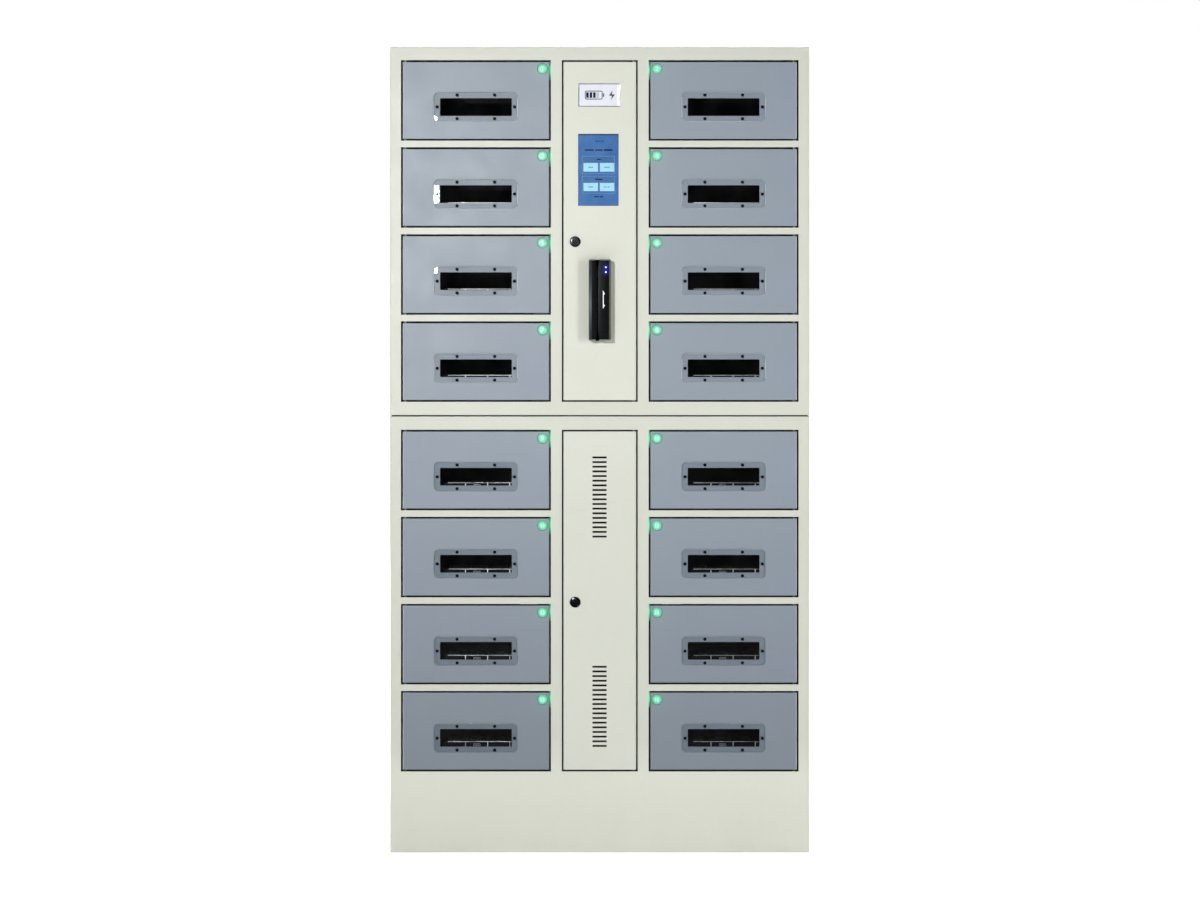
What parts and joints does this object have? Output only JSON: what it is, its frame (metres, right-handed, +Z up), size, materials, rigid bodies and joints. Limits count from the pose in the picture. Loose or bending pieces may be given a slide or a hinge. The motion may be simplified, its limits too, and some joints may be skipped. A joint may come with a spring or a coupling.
{
  "type": "phone charging kiosk",
  "caption": "Free-standing charging locker: two columns of hinged windowed compartment doors beside a service bay with touchscreen, swipe card reader and locked doors.",
  "frame": {"origin": "on the floor at the centre of the cabinet's base panel", "axes": "+Z up, front facing -Y, +X to the right as seen from the front"},
  "size_m": [0.9, 0.4845, 1.73],
  "materials": {
    "frame_paint": "fine textured powder coat, satin",
    "door_paint": "fine textured powder coat, satin",
    "inner_paint": "black powder coat, matt",
    "clear_pane": "clear polycarbonate, gloss",
    "zinc_steel": "bright zinc plate",
    "dark_chrome": "dark plated",
    "black_plastic": "fine moulded texture",
    "black_gloss": "gloss",
    "screen": "glass-fronted display, lit blue",
    "label": "satin printed plate",
    "lens": "translucent green lamp lens",
    "circuit_board": "solder-masked board",
    "grey_plastic": "moulded",
    "rubber": "matt",
    "sheath": "cable sheath",
    "aluminium": "folded and perforated, satin"
  },
  "bodies": {
    "cabinet": {"upper_face_frame": "frame_paint", "lower_face_frame": "frame_paint", "upper_carcass": "frame_paint", "lower_carcass": "frame_paint", "rear_panels": "frame_paint", "bay_walls": "inner_paint", "compartment_shelves": "inner_paint", "cabinet_fasteners": "zinc_steel", "hinge_pins": "zinc_steel", "electric_locks": "black_plastic", "lamp_boards": "circuit_board", "lamp_lenses": "lens", "door_bumpers": "rubber", "charging_strips": "black_plastic", "socket_modules": "black_gloss", "wiring_harness": "sheath", "power_supplies": "aluminium", "lock_controller": "grey_plastic", "mains_inlet": "black_plastic"},
    "compartment_door_01": {"door_01": "door_paint", "window_01": "clear_pane"},
    "compartment_door_02": {"door_02": "door_paint", "window_02": "clear_pane"},
    "compartment_door_03": {"door_03": "door_paint", "window_03": "clear_pane"},
    "compartment_door_04": {"door_04": "door_paint", "window_04": "clear_pane"},
    "compartment_door_05": {"door_05": "door_paint", "window_05": "clear_pane"},
    "compartment_door_06": {"door_06": "door_paint", "window_06": "clear_pane"},
    "compartment_door_07": {"door_07": "door_paint", "window_07": "clear_pane"},
    "compartment_door_08": {"door_08": "door_paint", "window_08": "clear_pane"},
    "compartment_door_09": {"door_09": "door_paint", "window_09": "clear_pane"},
    "compartment_door_10": {"door_10": "door_paint", "window_10": "clear_pane"},
    "compartment_door_11": {"door_11": "door_paint", "window_11": "clear_pane"},
    "compartment_door_12": {"door_12": "door_paint", "window_12": "clear_pane"},
    "compartment_door_13": {"door_13": "door_paint", "window_13": "clear_pane"},
    "compartment_door_14": {"door_14": "door_paint", "window_14": "clear_pane"},
    "compartment_door_15": {"door_15": "door_paint", "window_15": "clear_pane"},
    "compartment_door_16": {"door_16": "door_paint", "window_16": "clear_pane"},
    "upper_bay_door": {"upper_service_door": "frame_paint", "touchscreen": "screen", "name_plate": "label", "card_reader": "black_gloss", "upper_lock_barrel": "dark_chrome"},
    "lower_bay_door": {"lower_service_door": "frame_paint", "lower_lock_barrel": "dark_chrome"},
    "upper_cam_plug": {"upper_lock_plug": "dark_chrome"},
    "lower_cam_plug": {"lower_lock_plug": "dark_chrome"}
  },
  "joints": [
    {"name": "door_01_hinge", "type": "hinge", "parent": "cabinet", "child": "compartment_door_01", "pos_m": [-0.418, -0.2195, 1.6155], "axis": [0, 0, -1], "range_deg": [0, 110]},
    {"name": "door_02_hinge", "type": "hinge", "parent": "cabinet", "child": "compartment_door_02", "pos_m": [0.418, -0.2195, 1.6155], "axis": [0, 0, 1], "range_deg": [0, 110]},
    {"name": "door_03_hinge", "type": "hinge", "parent": "cabinet", "child": "compartment_door_03", "pos_m": [-0.418, -0.2195, 1.4285], "axis": [0, 0, -1], "range_deg": [0, 110]},
    {"name": "door_04_hinge", "type": "hinge", "parent": "cabinet", "child": "compartment_door_04", "pos_m": [0.418, -0.2195, 1.4285], "axis": [0, 0, 1], "range_deg": [0, 110]},
    {"name": "door_05_hinge", "type": "hinge", "parent": "cabinet", "child": "compartment_door_05", "pos_m": [-0.418, -0.2195, 1.2415], "axis": [0, 0, -1], "range_deg": [0, 110]},
    {"name": "door_06_hinge", "type": "hinge", "parent": "cabinet", "child": "compartment_door_06", "pos_m": [0.418, -0.2195, 1.2415], "axis": [0, 0, 1], "range_deg": [0, 110]},
    {"name": "door_07_hinge", "type": "hinge", "parent": "cabinet", "child": "compartment_door_07", "pos_m": [-0.418, -0.2195, 1.0545], "axis": [0, 0, -1], "range_deg": [0, 110]},
    {"name": "door_08_hinge", "type": "hinge", "parent": "cabinet", "child": "compartment_door_08", "pos_m": [0.418, -0.2195, 1.0545], "axis": [0, 0, 1], "range_deg": [0, 110]},
    {"name": "door_09_hinge", "type": "hinge", "parent": "cabinet", "child": "compartment_door_09", "pos_m": [-0.418, -0.2195, 0.8215], "axis": [0, 0, -1], "range_deg": [0, 110]},
    {"name": "door_10_hinge", "type": "hinge", "parent": "cabinet", "child": "compartment_door_10", "pos_m": [0.418, -0.2195, 0.8215], "axis": [0, 0, 1], "range_deg": [0, 110]},
    {"name": "door_11_hinge", "type": "hinge", "parent": "cabinet", "child": "compartment_door_11", "pos_m": [-0.418, -0.2195, 0.6345], "axis": [0, 0, -1], "range_deg": [0, 110]},
    {"name": "door_12_hinge", "type": "hinge", "parent": "cabinet", "child": "compartment_door_12", "pos_m": [0.418, -0.2195, 0.6345], "axis": [0, 0, 1], "range_deg": [0, 110]},
    {"name": "door_13_hinge", "type": "hinge", "parent": "cabinet", "child": "compartment_door_13", "pos_m": [-0.418, -0.2195, 0.4475], "axis": [0, 0, -1], "range_deg": [0, 110]},
    {"name": "door_14_hinge", "type": "hinge", "parent": "cabinet", "child": "compartment_door_14", "pos_m": [0.418, -0.2195, 0.4475], "axis": [0, 0, 1], "range_deg": [0, 110]},
    {"name": "door_15_hinge", "type": "hinge", "parent": "cabinet", "child": "compartment_door_15", "pos_m": [-0.418, -0.2195, 0.2605], "axis": [0, 0, -1], "range_deg": [0, 110]},
    {"name": "door_16_hinge", "type": "hinge", "parent": "cabinet", "child": "compartment_door_16", "pos_m": [0.418, -0.2195, 0.2605], "axis": [0, 0, 1], "range_deg": [0, 110]},
    {"name": "upper_bay_door_hinge", "type": "hinge", "parent": "cabinet", "child": "upper_bay_door", "pos_m": [0.0728, -0.2195, 1.335], "axis": [0, 0, 1], "range_deg": [0, 110]},
    {"name": "lower_bay_door_hinge", "type": "hinge", "parent": "cabinet", "child": "lower_bay_door", "pos_m": [0.0728, -0.2195, 0.541], "axis": [0, 0, 1], "range_deg": [0, 110]},
    {"name": "upper_cam_lock_turn", "type": "hinge", "parent": "upper_bay_door", "child": "upper_cam_plug", "pos_m": [-0.0528, -0.2, 1.312], "axis": [0, 1, 0], "range_deg": [0, 90]},
    {"name": "lower_cam_lock_turn", "type": "hinge", "parent": "lower_bay_door", "child": "lower_cam_plug", "pos_m": [-0.0528, -0.2, 0.538], "axis": [0, 1, 0], "range_deg": [0, 90]}
  ]
}
